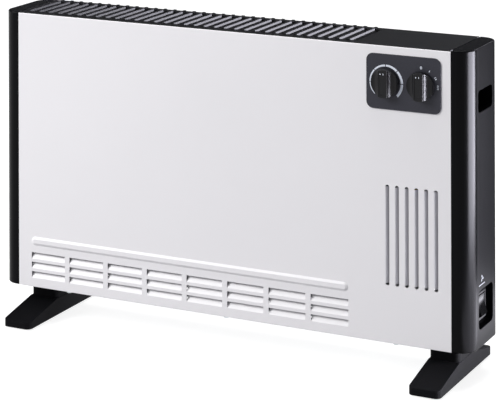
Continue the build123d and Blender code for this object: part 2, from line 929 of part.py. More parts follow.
def rocker_axis_x():
    """Pivot of the rocker, just behind the bezel's face."""
    return bezel_x - rocker_axis_depth


def turbo_switch():
    """Switch housing: bezel on the recess floor, body through it and a well for the rocker."""
    z = switch_recess_centre_z
    y = switch_centre_y
    x_axis = rocker_axis_x()
    x_back = switch_floor_x - switch_body_depth
    half_height = switch_bezel_height / 2
    half_width = switch_bezel_width / 2
    bezel = slab(switch_floor_x, bezel_x, y - half_width, y + half_width, z - half_height, z + half_height)
    bezel = fillet(bezel.edges().group_by(Axis.X)[-1], bezel_edge_radius)
    half_height -= switch_body_margin + wall_gap
    half_width -= switch_body_margin + wall_gap
    y0 = y - half_width
    y1 = y + half_width
    body = slab(x_back, switch_floor_x + join, y0, y1, z - half_height, z + half_height)
    well_half = rocker_width / 2 + rocker_clearance
    well_height = rocker_height / 2 + rocker_end_gap
    well = round_y(rocker_height / 2 + rocker_swing_gap, x_axis, y - well_half, y + well_half, z)
    x_well = x_axis - rocker_well_depth
    well &= slab(x_well, body_width / 2, y0, y1, z - well_height, z + well_height)
    housing = bezel + body - well
    reach = rocker_width / 2 + rocker_pin_reach + rocker_clearance
    housing -= round_y(rocker_pin / 2 + shaft_fit, x_axis, y - reach, y + reach, z)
    for dz in switch_terminal_z:
        z0 = z + dz - blade_terminal_thickness / 2
        y0 = y - blade_terminal / 2
        x0 = x_back - blade_terminal_length
        housing += slab(x0, x_back + join, y0, y0 + blade_terminal, z0, z0 + blade_terminal_thickness)
    return housing


def turbo_rocker():
    """Rocker with a hollow face and round back, on two pins, shown with its lower end pressed in."""
    x_axis = rocker_axis_x()
    radius = rocker_height / 2
    half = rocker_width / 2
    body = round_y(radius, 0, -half, half, 0)
    face_x = bezel_x + rocker_proud - x_axis
    body &= slab(-rocker_back, face_x, -half, half, -radius, radius)
    body -= round_y(rocker_radius, face_x + rocker_radius - rocker_dish, -half - over, half + over, 0)
    body += round_y(rocker_pin / 2, 0, -half - rocker_pin_reach, half + rocker_pin_reach, 0)
    tilted = Rot(0, -rocker_throw / 2, 0) * body
    return Pos(x_axis, switch_centre_y, switch_recess_centre_z) * tilted


def cross_wall(x):
    """Steel wall across the body, folded along the front and rear, with two tabs on the tray."""
    y = wall_half_depth
    x_face = x + wall_sheet
    x_fold = x_face + wall_flange
    lip_top = tray_floor + tray_lip + over
    fold_bottom = vent_top + over
    wall = slab(x, x_face, -y, y, tray_top, wall_top)
    for side in (-1, 1):
        y_low, y_high = sorted((side * y, side * (y - wall_sheet)))
        wall += slab(x, x_fold, y_low, y_high, fold_bottom, wall_top)
        y_low, y_high = sorted((side * (y + over), side * (y - tray_sheet - wall_gap)))
        wall -= slab(x - over, x_face + over, y_low, y_high, tray_top - over, lip_top)
        y_tab = side * wall_screw_y
        wall += slab(x, x_fold, y_tab - wall_tab / 2, y_tab + wall_tab / 2, tray_top, tray_top + wall_sheet)
        wall -= round_z(wall_hole, x_face + wall_flange / 2, y_tab, tray_top - over, lip_top)
    for z in element_z:
        wall -= round_x(bush_diameter / 2 + wall_gap, x - over, x_face + over, 0, z)
    return wall


def left_wall():
    return cross_wall(left_wall_x)


def partition():
    """Wall between the heating chamber and the control compartment, with the round fan opening."""
    x0 = partition_x - over
    x1 = partition_x + wall_sheet + over
    wall = cross_wall(partition_x) - round_x(shroud_bore, x0, x1, 0, fan_centre_z)
    places = [*bracket_foot_z(), cutout_z - cutout_tab / 2]
    return wall - [round_x(small_screw_radius, x0, x1, 0, z) for z in places]


def heat_shield():
    """Thin sheet behind the front panel, with a lip at its top and bottom and a tab at each end."""
    y0 = front + sheet + shield_distance
    x0 = left_wall_x + wall_sheet
    x1 = partition_x
    t = shield_sheet
    points = [
        (y0, shield_bottom),
        (y0 + shield_lip, shield_bottom),
        (y0 + shield_lip, shield_bottom + t),
        (y0 + t, shield_bottom + t),
        (y0 + t, shield_top - t),
        (y0 + shield_lip, shield_top - t),
        (y0 + shield_lip, shield_top),
        (y0, shield_top),
    ]
    shield = prism_x(points, x0, x1)
    half = shield_tab / 2
    for z in (shield_bottom + shield_tab_inset, shield_top - shield_tab_inset):
        shield += slab(x0, x0 + t, y0, y0 + 2 * shield_lip, z - half, z + half)
        shield += slab(x1 - t, x1, y0, y0 + 2 * shield_lip, z - half, z + half)
    return shield


def element_span():
    """Left and right end of the finned bodies."""
    return left_wall_x + wall_sheet + element_end_gap, partition_x - element_end_gap


def element_fins(z):
    """Extruded aluminium body: a hub on the rod and four fins in an X, notched across their length."""
    x0, x1 = element_span()
    plane = Plane(origin=(x0, 0, z), x_dir=(0, 1, 0), z_dir=(1, 0, 0))
    profile = Circle(fin_hub_diameter / 2)
    for turn in (fin_angle, 180 - fin_angle, 180 + fin_angle, 360 - fin_angle):
        profile += Rot(0, 0, turn) * Pos(fin_reach / 2, 0) * Rectangle(fin_reach, fin_thickness)
        profile += Rot(0, 0, turn) * Pos(fin_reach, 0) * Rectangle(fin_thickness, fin_foot)
    profile -= Circle(rod_diameter / 2 + rod_fit)
    fins = extrude(plane * profile, amount=x1 - x0)
    step = (x1 - x0) / (fin_notches + 1)
    root = fin_hub_diameter / 2 + fin_notch_root
    half = fin_notch_width / 2
    notches = []
    for i in range(fin_notches):
        x = x0 + (i + 1) * step
        for side in (-1, 1):
            y_low, y_high = sorted((side * root, side * (fin_reach + fin_foot)))
            notches.append(slab(x - half, x + half, y_low, y_high, z - fin_reach, z + fin_reach))
    return fins - notches


def element_rods():
    """Sheathed heater rods with a terminal stud at each end."""
    x0 = left_wall_x - rod_end
    x1 = partition_x + wall_sheet + rod_end
    rods = []
    for z in element_z:
        rod = round_x(rod_diameter / 2, x0, x1, 0, z)
        rod += round_x(stud_diameter / 2, x0 - stud_length, x1 + stud_length, 0, z)
        rods.append(rod)
    return group(rods)


def element_bushes():
    """Flanged ceramic bushes that carry the rods in both walls."""
    bushes = []
    reach = wall_sheet + bush_stand_out
    for z in element_z:
        for x_face, inward in ((left_wall_x + wall_sheet, 1), (partition_x, -1)):
            x_low, x_high = sorted((x_face, x_face + inward * bush_flange))
            bush = round_x(bush_flange_diameter / 2, x_low, x_high, 0, z)
            x_low, x_high = sorted((x_face + inward * join, x_face - inward * reach))
            bush += round_x(bush_diameter / 2, x_low, x_high, 0, z)
            bush -= round_x(rod_diameter / 2 + rod_fit, x_face - 2 * reach, x_face + 2 * reach, 0, z)
            bushes.append(bush)
    return group(bushes)


def cutout_bracket():
    """Angle on the partition with an arm that holds the cut-out in the warm air."""
    half = cutout_diameter / 2
    x_end = partition_x - cutout_stand_off - half
    x_tab = partition_x - wall_sheet
    bracket = slab(x_tab, partition_x, -half, half, cutout_z - cutout_tab, cutout_z)
    bracket += slab(x_end, partition_x, -half, half, cutout_z - wall_sheet, cutout_z)
    return bracket - round_x(wall_hole, x_tab - over, partition_x + over, 0, cutout_z - cutout_tab / 2)


def thermal_cutout():
    """Disc thermostat under the arm, with two blade terminals."""
    x = partition_x - cutout_stand_off
    top = cutout_z - wall_sheet
    middle = top - cutout_height / 2
    radius = cutout_diameter / 2
    disc = round_z(radius, x, 0, middle, top)
    disc += round_z(radius - cutout_step, x, 0, top - cutout_height, middle + join)
    z0 = (middle + top - cutout_height - blade_terminal_thickness) / 2
    x0 = x - blade_terminal / 2
    for side in (-1, 1):
        y_low, y_high = sorted((side * (radius - 2 * cutout_step), side * (radius + blade_terminal_length)))
        disc += slab(x0, x0 + blade_terminal, y_low, y_high, z0, z0 + blade_terminal_thickness)
    return disc


def fan_shroud():
    """Ring around the impeller with a flange on the partition."""
    x0 = partition_x + wall_sheet
    ring = round_x(shroud_bore + shroud_wall, x0, x0 + shroud_depth, 0, fan_centre_z)
    ring += round_x(shroud_bore + shroud_flange, x0, x0 + shroud_flange_thickness, 0, fan_centre_z)
    return ring - round_x(shroud_bore, x0 - over, x0 + shroud_depth + over, 0, fan_centre_z)


def blade_section(reach, chord, pitch):
    """Section of an impeller blade at a distance from the axis, turned by its pitch."""
    plane = Plane(origin=(0, 0, reach), x_dir=(0, 1, 0), z_dir=(0, 0, 1))
    return plane * Rot(0, 0, pitch) * RectangleRounded(chord, blade_thickness, blade_edge)


def impeller_blade():
    """One blade, twisted from a steep root to a flatter tip, drawn along +Z from the axis."""
    root = blade_section(impeller_hub / 2 - blade_thickness, blade_root_chord, blade_root_pitch)
    tip = blade_section(impeller_diameter / 2 + over, blade_tip_chord, blade_tip_pitch)
    return loft([root, tip])


def fan_impeller():
    """Hub with twisted blades, trimmed to a cylinder that runs in the shroud."""
    half = impeller_width / 2
    hub = round_x(impeller_hub / 2, -half, half, 0, 0)
    hub = fillet(hub.edges().group_by(Axis.X)[0], hub_nose_radius)
    blade = impeller_blade() & round_x(impeller_diameter / 2, -half, half, 0, 0)
    wheel = hub + [Rot(i * 360 / blade_number, 0, 0) * blade for i in range(blade_number)]
    wheel -= round_x(fan_shaft_diameter / 2 + hair, hub_nose_wall - half, half + over, 0, 0)
    return Pos(partition_x + wall_sheet + impeller_wall_gap + half, 0, fan_centre_z) * wheel


def motor_plate_x():
    """Left face of the cross part of the motor bracket."""
    return partition_x + wall_sheet + motor_bracket_reach


def bracket_foot_z():
    """Heights of the two screws that hold the motor bracket to the partition."""
    reach = bracket_end - motor_foot / 2
    return fan_centre_z - reach, fan_centre_z + reach


def motor_bracket():
    """Steel strap that bridges the fan and carries the motor behind it."""
    t = motor_bracket_sheet
    leg = bracket_leg
    x0 = partition_x + wall_sheet
    x1 = motor_plate_x()
    half = motor_bracket_width / 2
    strap = slab(x1, x1 + t, -half, half, fan_centre_z - leg - t, fan_centre_z + leg + t)
    for side in (-1, 1):
        z_low, z_high = sorted((fan_centre_z + side * leg, fan_centre_z + side * (leg + t)))
        strap += slab(x0, x1 + t, -half, half, z_low, z_high)
        z_low, z_high = sorted((fan_centre_z + side * leg, fan_centre_z + side * (leg + t + motor_foot)))
        strap += slab(x0, x0 + t, -half, half, z_low, z_high)
    strap -= round_x(bearing_boss / 2 + boss_gap, x1 - over, x1 + t + over, 0, fan_centre_z)
    hole = small_screw_radius + screw_hole_gap
    strap -= [round_x(hole, x1 - over, x1 + t + over, 0, z) for z in motor_screw_z()]
    return strap - [round_x(wall_hole, x0 - over, x0 + t + over, 0, z) for z in bracket_foot_z()]


def motor_screw_z():
    reach = motor_bore / 2 + motor_screw_margin
    return fan_centre_z - reach, fan_centre_z + reach


def core_x():
    """Left and right face of the laminated core."""
    x0 = motor_plate_x() + motor_bracket_sheet + bearing_thickness
    return x0, x0 + motor_core_thickness


def core_bottom():
    return fan_centre_z - motor_bore / 2 - core_below_bore


def core_top():
    return core_bottom() + motor_core_height


def window_bottom():
    """Lower edge of the core's window, above the rotor bore."""
    return fan_centre_z + motor_bore / 2 + core_above_bore


def motor_core():
    """Laminated frame: the rotor bore below and the bar for the coil above, with a window between."""
    x0, x1 = core_x()
    half = motor_core_width / 2
    window_half = half - core_leg
    core = slab(x0, x1, -half, half, core_bottom(), core_top())
    core -= slab(x0 - over, x1 + over, -window_half, window_half, window_bottom(), core_top() - core_leg)
    core -= round_x(motor_bore / 2, x0 - over, x1 + over, 0, fan_centre_z)
    return core - [round_x(wall_hole, x0 - over, x1 + over, 0, z) for z in motor_screw_z()]


def motor_coil():
    """Coil wound round the upper bar of the core."""
    x0, x1 = core_x()
    top = core_top()
    half = motor_core_width / 2 - core_leg - coil_gap
    coil = slab(x0 - coil_build, x1 + coil_build, -half, half, window_bottom() + coil_gap, top + coil_build)
    coil = fillet(coil.edges().filter_by(Axis.Y), coil_radius)
    z0 = top - core_leg - wall_gap
    return coil - slab(x0 - wall_gap, x1 + wall_gap, -half - over, half + over, z0, top + wall_gap)


def motor_bearings():
    """Die-cast end brackets with a bearing boss each, one on either side of the core."""
    x0, x1 = core_x()
    half = bearing_arm / 2
    z0 = fan_centre_z - motor_bore / 2 - bearing_arm_end
    z1 = fan_centre_z + motor_bore / 2 + bearing_arm_end
    reach = bearing_thickness + bearing_reach
    journal = fan_shaft_diameter / 2 + shaft_fit
    brackets = []
    for x_face, outward in ((x0, -1), (x1, 1)):
        x_low, x_high = sorted((x_face, x_face + outward * bearing_thickness))
        arm = slab(x_low, x_high, -half, half, z0, z1)
        arm += round_x(bearing_boss / 2 + bearing_collar, x_low, x_high, 0, fan_centre_z)
        arm -= [round_x(wall_hole, x_low - over, x_high + over, 0, z) for z in motor_screw_z()]
        x_low, x_high = sorted((x_face + outward * join, x_face + outward * reach))
        arm += round_x(bearing_boss / 2, x_low, x_high, 0, fan_centre_z)
        arm -= round_x(journal, x_low - reach, x_high + reach, 0, fan_centre_z)
        brackets.append(arm)
    return group(brackets)


def fan_shaft():
    """Rotor and its shaft, which carries the impeller at its left end."""
    x0, x1 = core_x()
    x_tip = partition_x + wall_sheet + impeller_wall_gap + hub_nose_wall + shaft_tip_gap
    x_tail = x1 + bearing_thickness + bearing_reach + fan_shaft_tail
    rotor = round_x(motor_bore / 2 - rotor_gap, x0 + rotor_end_gap, x1 - rotor_end_gap, 0, fan_centre_z)
    return rotor + round_x(fan_shaft_diameter / 2, x_tip, x_tail, 0, fan_centre_z)


def terminal_block():
    """Moulded block with a round terminal well for each wire and a gap between the poles."""
    x0 = block_x - block_length / 2
    y0 = block_y - block_width / 2
    y1 = y0 + block_width
    top = tray_top + block_height
    block = slab(x0, x0 + block_length, y0, y1, tray_top, top)
    step = block_length / block_poles
    for i in range(block_poles):
        x = x0 + (i + 0.5) * step
        for y in (y0 + block_width / 4, y1 - block_width / 4):
            block -= round_z(block_well_radius, x, y, top - block_well_depth, top + over)
    for i in range(1, block_poles):
        x = x0 + i * step - pole_gap / 2
        block -= slab(x, x + pole_gap, y0 - over, y1 + over, top - pole_gap_depth, top + over)
    return block


def cord_gland():
    """Flanged bush for the mains lead in the rear sheet; the lead itself isn't modelled."""
    radius = gland_diameter / 2 - wall_gap
    y_inner = rear - sheet
    y_end = y_inner - gland_body
    gland = round_y(radius, gland_x, y_end, rear + gland_flange, gland_z)
    gland += round_y(radius + gland_lip, gland_x, rear, rear + gland_flange, gland_z)
    gland += round_y(radius + gland_snap, gland_x, y_inner - gland_snap_length, y_inner, gland_z)
    return gland - round_y(gland_bore / 2, gland_x, y_end - over, rear + gland_flange + over, gland_z)


def foot_screw_y():
    """Both screws of a foot, along its neck."""
    y = neck_depth / 2 - foot_screw_inset
    return -y, y


def foot_slope(y):
    """Height of the foot's sloping top at a distance y from its middle."""
    run = foot_length / 2 - neck_depth / 2 - neck_step
    toe_top = foot_lift + toe_height
    return toe_top + (neck_base_z - toe_top) * (foot_length / 2 - y) / run


def right_foot():
    """A-shaped foot: sloping toes with rounded corners, a neck up to the tray, hollow from below."""
    half_length = foot_length / 2
    half_neck = neck_depth / 2
    half_flat = half_neck + neck_step
    toe_top = foot_lift + toe_height
    points = [
        (-half_length, foot_lift),
        (half_length, foot_lift),
        (half_length, toe_top),
        (half_flat, neck_base_z),
        (-half_flat, neck_base_z),
        (-half_length, toe_top),
    ]
    x0 = foot_centre_x - foot_width / 2
    wedge = prism_x(points, x0, x0 + foot_width)
    plan = Plane(origin=(foot_centre_x, 0, 0)) * RectangleRounded(foot_width, foot_length, toe_corner)
    wedge &= extrude(plan, amount=neck_base_z + 1)
    upper_edges = [edge for edge in wedge.edges() if edge.bounding_box().min.Z > foot_lift + over]
    wedge = fillet(upper_edges, foot_edge_radius)
    neck_plan = RectangleRounded(foot_width - 2 * neck_step, neck_depth, neck_corner)
    foot = wedge + extrude(Plane(origin=(foot_centre_x, 0, toe_top)) * neck_plan, amount=foot_top - toe_top)
    pad_y = half_length - pad_inset
    y_inner = half_neck + foot_wall
    y_outer = half_length - foot_wall
    x_centre = foot_centre_x
    for side in (-1, 1):
        hollow = [
            (side * y_inner, foot_lift - over),
            (side * y_outer, foot_lift - over),
            (side * y_outer, foot_slope(y_outer) - foot_wall),
            (side * y_inner, foot_slope(y_inner) - foot_wall),
        ]
        foot -= prism_x(hollow, x0 + foot_wall, x0 + foot_width - foot_wall)
        y = side * pad_y
        boss_top = foot_slope(pad_y) - foot_wall
        foot += round_z(pad_diameter / 2 + pad_boss_wall, x_centre, y, foot_lift, boss_top)
        foot -= round_z(pad_diameter / 2 + pad_fit, x_centre, y, foot_lift - over, pad_thickness)
    for y in foot_screw_y():
        seat = foot_top - foot_screw_seat
        foot -= round_z(screw_head_radius + head_gap, x_centre, y, foot_lift - over, seat)
        foot -= round_z(screw_radius + screw_hole_gap, x_centre, y, foot_lift, foot_top + over)
    return foot


def left_foot():
    return mirror(right_foot(), about=Plane.YZ)


def foot_pads():
    pads = []
    for side_x in (-1, 1):
        for side_y in (-1, 1):
            y = side_y * (foot_length / 2 - pad_inset)
            pad = round_z(pad_diameter / 2, side_x * foot_centre_x, y, 0, pad_thickness)
            pads.append(fillet(pad.edges().group_by(Axis.Z)[0], pad_edge_radius))
    return group(pads)


def foot_screws():
    """Screws up through the necks of the feet into the tray."""
    z = foot_top - foot_screw_seat
    fixing = Rot(180, 0, 0) * large_screw(tray_top - z + screw_tail)
    return group(Pos(side * foot_centre_x, y, z) * fixing for side in (-1, 1) for y in foot_screw_y())


def base_screws():
    """Screws up through the bottom folds of both sheets into the tray."""
    fixing = Rot(180, 0, 0) * large_screw(tray_top - underside + screw_tail)
    return group(Pos(x, y, underside) * fixing for side in (-1, 1) for x, y in base_screw_places(side))


def rear_screws():
    """Screws through the rear sheet into the tabs of the end caps."""
    fixing = Rot(-90, 0, 0) * large_screw(sheet + wall_gap + rear_tab_depth - 2 * over)
    return group(Pos(side * rear_screw_x, rear, z) * fixing for side in (-1, 1) for z in rear_screw_z)


def cap_screws():
    """Screws through the front sheet's end folds into the bosses of the end caps."""
    x = sheet_end_x - sheet
    fixing = large_screw(sheet + seam + cap_screw_depth - over)
    turned = {side: Rot(0, -90 * side, 0) * fixing for side in (-1, 1)}
    return group(Pos(side * x, cap_screw_y, z) * turned[side] for side in (-1, 1) for z in cap_screw_z)


def bracket_screws():
    """Screws through the control bracket into the fascia's bosses."""
    fixing = Rot(-90, 0, 0) * small_screw(bracket_sheet + bracket_screw_grip)
    return group(Pos(x, bracket_y + bracket_sheet, z) * fixing for x, z in bracket_screw_places())


def control_screws():
    """Screws from the front of the bracket into the thermostat and the selector switch."""
    fixing = Rot(90, 0, 0) * small_screw(bracket_sheet + control_screw_grip)
    return group(Pos(x, bracket_y, z) * fixing for x in dial_x for z in control_screw_z())


def motor_screws():
    """Long screws through the motor bracket, both end brackets and the core."""
    x0, x1 = core_x()
    fixing = Rot(0, -90, 0) * small_screw(x1 + bearing_thickness - motor_plate_x())
    return group(Pos(motor_plate_x(), 0, z) * fixing for z in motor_screw_z())


def wall_screws():
    """Short screws that hold the walls to the tray, and the brackets to the partition."""
    z_tab = tray_top + wall_sheet
    screws = [Pos(x, y, z_tab) * small_screw(wall_sheet + tray_sheet) for x, y in wall_screw_places()]
    x = partition_x + wall_sheet + motor_bracket_sheet
    motor_fixing = Rot(0, 90, 0) * small_screw(motor_bracket_sheet + wall_sheet + screw_tail)
    screws += [Pos(x, 0, z) * motor_fixing for z in bracket_foot_z()]
    cutout_fixing = Rot(0, -90, 0) * small_screw(2 * wall_sheet + screw_tail)
    screws.append(Pos(partition_x - wall_sheet, 0, cutout_z - cutout_tab / 2) * cutout_fixing)
    return group(screws)


parts = {
    "front_panel": front_panel,
    "rear_panel": rear_panel,
    "base_tray": base_tray,
    "right_end_cap": right_end_cap,
    "left_end_cap": left_end_cap,
    "top_grille": top_grille,
    "control_panel": control_panel,
    "control_bracket": control_bracket,
    "thermostat": thermostat,
    "selector_switch": selector_switch,
    "thermostat_shaft": lambda: dial_shaft(dial_x[0]),
    "selector_shaft": lambda: dial_shaft(dial_x[1]),
    "thermostat_knob": lambda: dial_knob(dial_x[0]),
    "selector_knob": lambda: dial_knob(dial_x[1]),
    "turbo_switch": turbo_switch,
    "turbo_rocker": turbo_rocker,
    "left_wall": left_wall,
    "partition": partition,
    "heat_shield": heat_shield,
    "lower_element_fins": lambda: element_fins(element_z[0]),
    "upper_element_fins": lambda: element_fins(element_z[1]),
    "element_rods": element_rods,
    "element_bushes": element_bushes,
    "cutout_bracket": cutout_bracket,
    "thermal_cutout": thermal_cutout,
    "fan_shroud": fan_shroud,
    "fan_impeller": fan_impeller,
    "fan_shaft": fan_shaft,
    "motor_bracket": motor_bracket,
    "motor_core": motor_core,
    "motor_coil": motor_coil,
    "motor_bearings": motor_bearings,
    "terminal_block": terminal_block,
    "cord_gland": cord_gland,
    "right_foot": right_foot,
    "left_foot": left_foot,
    "foot_pads": foot_pads,
    "foot_screws": foot_screws,
    "base_screws": base_screws,
    "rear_screws": rear_screws,
    "cap_screws": cap_screws,
    "bracket_screws": bracket_screws,
    "control_screws": control_screws,
    "motor_screws": motor_screws,
    "wall_screws": wall_screws,
}

os.makedirs("parts", exist_ok=True)
for node, make in parts.items():
    export_step(make(), f"parts/{node}.step")
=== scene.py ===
"""Convector heater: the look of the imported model, in metres, seen as in the photograph."""

import bmesh
import bpy
from math import cos, pi, radians, sin
from mathutils import Matrix, Vector


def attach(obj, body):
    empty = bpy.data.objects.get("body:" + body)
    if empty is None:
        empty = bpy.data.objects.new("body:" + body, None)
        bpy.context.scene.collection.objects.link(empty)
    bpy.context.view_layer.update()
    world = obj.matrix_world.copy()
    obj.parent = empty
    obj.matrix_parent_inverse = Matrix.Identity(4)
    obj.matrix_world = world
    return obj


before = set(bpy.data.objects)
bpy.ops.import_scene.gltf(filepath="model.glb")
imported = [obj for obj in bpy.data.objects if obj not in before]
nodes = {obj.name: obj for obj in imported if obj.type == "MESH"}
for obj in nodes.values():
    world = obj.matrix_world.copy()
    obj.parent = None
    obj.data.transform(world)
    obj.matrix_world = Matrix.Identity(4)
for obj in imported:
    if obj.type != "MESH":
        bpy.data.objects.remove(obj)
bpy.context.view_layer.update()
bpy.context.scene.view_settings.view_transform = "Standard"


# The photograph's view. The heater's uprights are parallel in it though the camera looks down, as with a
# view camera whose picture plane stands upright: the lens is level and raised against the picture.
# Angles are in radians, and what is named in pixels is in the photograph's own.
camera_place = Vector((1.09791, -2.18436, 0.81930))
heading = 0.46117
roll = -0.00307
focal_pixels = 2099.42
rise_pixels = 562.9
picture_pixels = 500
sensor_millimetres = 36
level_right = Vector((cos(heading), sin(heading), 0))
forward = Vector((-sin(heading), cos(heading), 0))
right = level_right * cos(roll) + Vector((0, 0, 1)) * sin(roll)
up = Vector((0, 0, 1)) * cos(roll) - level_right * sin(roll)
lens_axis = (forward * focal_pixels - up * rise_pixels).normalized()
lens_pixels = (focal_pixels**2 + rise_pixels**2) ** 0.5
camera_data = bpy.data.cameras.new("view_camera")
camera_data.sensor_width = sensor_millimetres
camera_data.lens = lens_pixels / picture_pixels * sensor_millimetres
camera_data.clip_end = 30
camera = bpy.data.objects.new("view_camera", camera_data)
bpy.context.scene.collection.objects.link(camera)
bpy.context.scene.camera = camera
camera_stand = bpy.data.objects.new("camera_stand", None)
bpy.context.scene.collection.objects.link(camera_stand)
# The right, up and lens axes aren't square to each other, so they go in the parent's inverse matrix.
camera.parent = camera_stand
picture_axes = Matrix((right, up, -lens_axis)).transposed().to_4x4()
camera.matrix_parent_inverse = Matrix.Translation(camera_place) @ picture_axes


# Seamless white paper under the heater, matt, so that it shows no reflection of the feet. It is white to
# the camera and in what the heater reflects, and greyer where it only passes light on.
def linear(hex_colour):
    """sRGB hex such as "E8E6E9" as the linear colour that a shader takes."""
    parts = [int(hex_colour[i : i + 2], 16) / 255 for i in (0, 2, 4)]
    return (*[p / 12.92 if p <= 0.04045 else ((p + 0.055) / 1.055) ** 2.4 for p in parts], 1)


def add_node(material, kind, settings=None, links=None):
    """Adds a node with its settings (properties, or inputs by name or number) and its input links."""
    made = material.node_tree.nodes.new(kind)
    for key, value in (settings or {}).items():
        if isinstance(key, str) and hasattr(made, key):
            setattr(made, key, value)
        else:
            made.inputs[key].default_value = value
    for key, source in (links or {}).items():
        material.node_tree.links.new(source, made.inputs[key])
    return made


def maths(material, operation, first, second, clamp=False):
    """What an operation makes of two sockets or numbers."""
    made = add_node(material, "ShaderNodeMath", {"operation": operation, "use_clamp": clamp})
    for i, item in enumerate((first, second)):
        if isinstance(item, float):
            made.inputs[i].default_value = item
        else:
            material.node_tree.links.new(item, made.inputs[i])
    return made.outputs[0]


def ramp(material, value, start, end, first, last):
    """Goes from first to last while the value goes from start to end."""
    limits = {"From Min": start, "From Max": end, "To Min": first, "To Max": last}
    return add_node(material, "ShaderNodeMapRange", limits, {"Value": value}).outputs[0]


def tint(material, first, last, share):
    """Mixes two colours, each a hex or a socket, by a share from 0 to 1."""
    made = add_node(material, "ShaderNodeMix", {"data_type": "RGBA"}, {0: share})
    for i, colour in ((6, first), (7, last)):
        if isinstance(colour, str):
            made.inputs[i].default_value = linear(colour)
        else:
            material.node_tree.links.new(colour, made.inputs[i])
    return made.outputs[2]


def finish(name, settings):
    """A material whose surface has these constants."""
    material = bpy.data.materials.new(name)
    material.use_nodes = True
    for key, value in settings.items():
        material.node_tree.nodes["Principled BSDF"].inputs[key].default_value = value
    return material


def feed(material, key, socket):
    """Links a socket to an input of the material's surface."""
    material.node_tree.links.new(socket, material.node_tree.nodes["Principled BSDF"].inputs[key])


def seen_directly(material):
    """One for rays that come from the camera or by way of a gloss or glass, else nought."""
    ray = add_node(material, "ShaderNodeLightPath").outputs
    by_gloss = maths(material, "ADD", ray["Is Glossy Ray"], ray["Is Transmission Ray"])
    return maths(material, "ADD", ray["Is Camera Ray"], by_gloss, clamp=True)


def stand(name, shape, material):
    """Makes a piece of the stage of a bmesh."""
    mesh = bpy.data.meshes.new(name)
    shape.to_mesh(mesh)
    shape.free()
    mesh.materials.append(material)
    made = bpy.data.objects.new(name, mesh)
    bpy.context.scene.collection.objects.link(made)
    return made


paper = finish(
    "white_background_paper", {"Roughness": 0.95, "Specular IOR Level": 0.0, "Emission Color": (1, 1, 1, 1)}
)
# Most of its white is its own in the picture, so that it stays white where it gets little light and the
# heater's shadow on it stays soft.
own_white = 0.84
paper_seen = seen_directly(paper)
feed(paper, "Base Color", tint(paper, "88888C", "A4A4A4", paper_seen))
feed(paper, "Emission Strength", maths(paper, "MULTIPLY", paper_seen, own_white))
paper_half = 9
floor_shape = bmesh.new()
bmesh.ops.create_grid(floor_shape, x_segments=1, y_segments=1, size=paper_half)
stand("paper_floor", floor_shape, paper)

# The room: white up to where the paper ends, a little above the horizon, and dim over that. What lights
# the heater from all round is an even grey.
room = bpy.data.worlds.new("studio_room")
bpy.context.scene.world = room
room.use_nodes = True
room_light = room.node_tree.nodes["Background"]
room_light.inputs["Color"].default_value = linear("A8A9AC")
room_way = add_node(room, "ShaderNodeTexCoord").outputs["Generated"]
room_height = add_node(room, "ShaderNodeSeparateXYZ", {}, {0: room_way}).outputs["Z"]
paper_end, dim_start = 0.02, 0.08
room_shade = tint(room, "FFFFFF", "3C3D40", ramp(room, room_height, paper_end, dim_start, 0.0, 1.0))
room_seen = add_node(room, "ShaderNodeBackground", {"Strength": 1.0}, {"Color": room_shade})
room_links = {0: seen_directly(room), 1: room_light.outputs[0], 2: room_seen.outputs[0]}
room_mix = add_node(room, "ShaderNodeMixShader", {}, room_links)
room.node_tree.links.new(room_mix.outputs[0], room.node_tree.nodes["World Output"].inputs["Surface"])


# The lamps: a large softbox at the front left and one overhead. Three cards show only in gloss: one
# upright and one flat on the right, for the end cap's corner, and one high behind, for the blades.
def softbox(name, place, aim, size, watts, gloss_only=False):
    """A lamp behind a white cloth of a size in metres, at a place and turned to a point."""
    lamp = bpy.data.lights.new(name, "AREA")
    lamp.shape = "RECTANGLE"
    lamp.size, lamp.size_y = size
    lamp.energy = watts
    hung = bpy.data.objects.new(name, lamp)
    bpy.context.scene.collection.objects.link(hung)
    hung.location = place
    hung.rotation_euler = (Vector(aim) - Vector(place)).to_track_quat("-Z", "Y").to_euler()
    hung.visible_camera = False
    if gloss_only:
        lamp.color = (0.98, 0.97, 1.1)
        hung.visible_diffuse = False


softbox("key_softbox", (-2.2, -1.9, 1.9), (-0.15, 0, 0.22), (1.6, 1.6), 110)
softbox("top_softbox", (0.1, 0.2, 2.2), (0, 0, 0.2), (1.8, 1.4), 32)
softbox("side_card", (0.88, 0.16, 0.17), (0.3, 0.16, 0.17), (0.7, 0.34), 50, gloss_only=True)
softbox("low_side_card", (0.62, 0.02, 0.005), (0.62, 0.02, 1.0), (0.5, 0.5), 6, gloss_only=True)
softbox("back_card", (0.45, 1.93, 1.22), (0, 0, 0.37), (0.9, 0.5), 13, gloss_only=True)

# A black flag, also seen only in gloss, keeps the white paper out of the end cap's flat side. It stands
# on the paper behind the cap on the right, and faces the cap.
flag_width, flag_height = 0.3, 0.5
black_cloth = finish(
    "black_cloth_flag", {"Roughness": 1.0, "Specular IOR Level": 0.0, "Base Color": (0, 0, 0, 1)}
)
flag_shape = bmesh.new()
bmesh.ops.create_grid(flag_shape, x_segments=1, y_segments=1, size=0.5)
bmesh.ops.scale(flag_shape, verts=flag_shape.verts, vec=(flag_width, flag_height, 1))
flag_turn = Matrix.Rotation(radians(153), 4, "Z") @ Matrix.Rotation(pi / 2, 4, "X")
flag_place = Matrix.Translation((0.43, 0.29, flag_height / 2))
bmesh.ops.transform(flag_shape, matrix=flag_place @ flag_turn, verts=flag_shape.verts)
gloss_flag = stand("gloss_flag", flag_shape, black_cloth)
gloss_flag.visible_camera = gloss_flag.visible_diffuse = gloss_flag.visible_shadow = False


